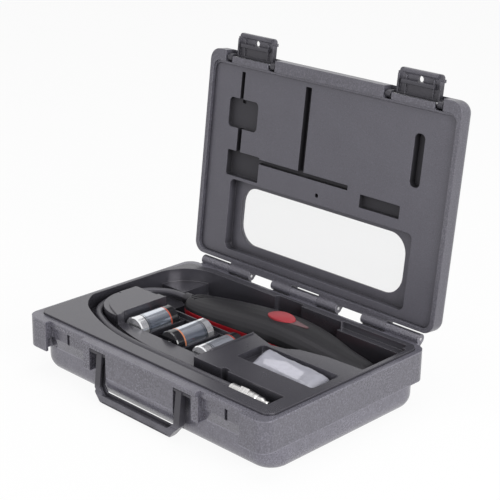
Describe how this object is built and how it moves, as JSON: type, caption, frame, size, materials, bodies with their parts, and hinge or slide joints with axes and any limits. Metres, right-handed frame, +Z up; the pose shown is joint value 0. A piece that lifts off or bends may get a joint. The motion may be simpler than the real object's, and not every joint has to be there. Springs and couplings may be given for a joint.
{
  "type": "handheld gas leak detector in carry case",
  "caption": "Handheld gas leak detector with a flexible probe, C cells and a spares bag in a moulded carry case with a windowed, latched lid.",
  "frame": {"origin": "centre of the case's base, on the floor", "axes": "+X along the case width to the right, +Y from the handle to the hinge, +Z up"},
  "size_m": [0.32, 0.2706, 0.3054],
  "materials": {
    "case_plastic": "fine moulded grain",
    "liner_plastic": "satin formed sheet",
    "steel_pin": "plain drawn wire",
    "clear_plastic": "clear acrylic",
    "latch_plastic": "satin",
    "handle_plastic": "fine grain",
    "tool_plastic": "fine grain",
    "red_plastic": "satin red",
    "button_red": "soft membrane",
    "lens_plastic": "smoked translucent",
    "board": "solder mask",
    "beeper_plastic": "plain",
    "door_plastic": "fine grain",
    "contact_metal": "nickel plated spring steel",
    "screw_steel": "zinc plated",
    "ferrule_plastic": "satin",
    "sleeve": "smooth sleeve over a gooseneck",
    "fitting_metal": "nickel plated",
    "tip_metal": "nickel plated",
    "cell_jacket": "silver printed sleeve",
    "bag_film": "clear film",
    "label_paper": "plain white"
  },
  "bodies": {
    "base": {"base_shell": "case_plastic", "base_liner": "liner_plastic", "hinge_pin_left": "steel_pin", "hinge_pin_centre": "steel_pin", "hinge_pin_right": "steel_pin"},
    "lid": {"lid_shell": "case_plastic", "lid_liner": "liner_plastic", "window_pane": "clear_plastic", "latch_pin_left": "steel_pin", "latch_pin_right": "steel_pin"},
    "left_latch": {"latch_left": "latch_plastic"},
    "right_latch": {"latch_right": "latch_plastic"},
    "handle": {"carry_handle": "handle_plastic"},
    "instrument": {"lower_housing": "tool_plastic", "side_band": "red_plastic", "upper_housing": "tool_plastic", "indicator_lens": "lens_plastic", "circuit_board": "board", "beeper": "beeper_plastic", "battery_contacts": "contact_metal", "housing_screws": "screw_steel", "neck_ferrule": "ferrule_plastic", "gooseneck": "sleeve", "hex_fitting": "fitting_metal"},
    "button": {"power_button": "button_red"},
    "door": {"battery_door": "door_plastic"},
    "tip": {"sensor_tip": "tip_metal"},
    "cell_a": {"cell_1": "cell_jacket"},
    "cell_b": {"cell_2": "cell_jacket"},
    "cell_c": {"cell_3": "cell_jacket"},
    "bag": {"spare_bag": "bag_film", "spare_label": "label_paper"}
  },
  "joints": [
    {"name": "lid_hinge", "type": "hinge", "parent": "base", "child": "lid", "pos_m": [0, 0.1175, 0.0607], "axis": [-1, 0, 0], "range_deg": [-96, 4]},
    {"name": "left_latch_pivot", "type": "hinge", "parent": "lid", "child": "left_latch", "pos_m": [-0.104, 0.14236, 0.28], "axis": [-1, 0, 0], "range_deg": [-90, 6]},
    {"name": "right_latch_pivot", "type": "hinge", "parent": "lid", "child": "right_latch", "pos_m": [0.104, 0.14236, 0.28], "axis": [-1, 0, 0], "range_deg": [-90, 6]},
    {"name": "handle_swing", "type": "hinge", "parent": "base", "child": "handle", "pos_m": [0, -0.104, 0.0485], "axis": [-1, 0, 0], "range_deg": [0, 88]},
    {"name": "instrument_lift", "type": "slide", "parent": "base", "child": "instrument", "axis": [0, 0, 1], "range_m": [0, 0.09]},
    {"name": "button_press", "type": "slide", "parent": "instrument", "child": "button", "axis": [0, 0, 1], "range_m": [-0.0012, 0], "stiffness_N_per_m": 800, "springref_m": 0.0005},
    {"name": "door_release", "type": "slide", "parent": "instrument", "child": "door", "axis": [0, 0, -1], "range_m": [0, 0.005]},
    {"name": "tip_unscrew", "type": "slide", "parent": "instrument", "child": "tip", "axis": [1, 0, 0], "range_m": [0, 0.008]},
    {"name": "cell_1_lift", "type": "slide", "parent": "base", "child": "cell_a", "axis": [0, 0, 1], "range_m": [0, 0.06]},
    {"name": "cell_2_lift", "type": "slide", "parent": "base", "child": "cell_b", "axis": [0, 0, 1], "range_m": [0, 0.06]},
    {"name": "cell_3_lift", "type": "slide", "parent": "base", "child": "cell_c", "axis": [0, 0, 1], "range_m": [0, 0.06]},
    {"name": "bag_lift", "type": "slide", "parent": "base", "child": "bag", "axis": [0, 0, 1], "range_m": [0, 0.05]}
  ]
}
